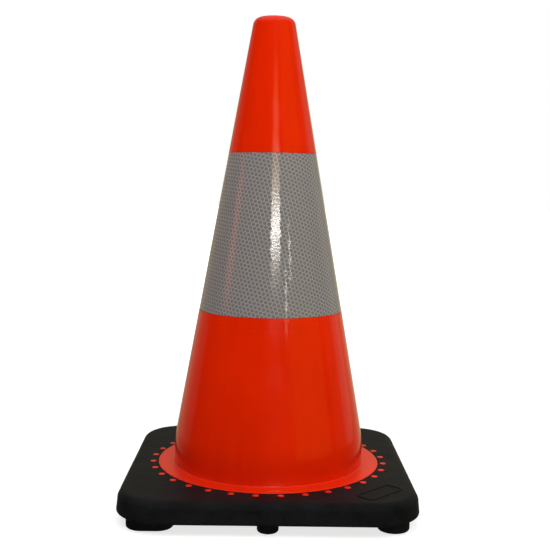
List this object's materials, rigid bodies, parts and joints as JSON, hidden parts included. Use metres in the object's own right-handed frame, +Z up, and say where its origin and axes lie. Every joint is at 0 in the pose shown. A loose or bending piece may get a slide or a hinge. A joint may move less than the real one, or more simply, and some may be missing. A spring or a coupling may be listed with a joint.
{
  "type": "traffic cone",
  "caption": "Hollow stackable traffic cone: a tapered shell with a hole in its nose, a reflective collar and a square ballast base on low feet.",
  "frame": {"origin": "on the ground at the centre of the square base, below the cone's axis", "axes": "+Z up along the cone's axis, -Y towards the front, +X to the right seen from the front"},
  "size_m": [0.2666, 0.2666, 0.45],
  "materials": {
    "orange_pvc": "glossy moulded PVC",
    "black_base": "matt moulded recycled PVC with a fine texture",
    "reflective_film": "glossy clear film over a honeycomb of retroreflective cells"
  },
  "bodies": {
    "root": {"cone_body": "orange_pvc", "base": "black_base", "reflective_collar": "reflective_film"}
  },
  "joints": []
}
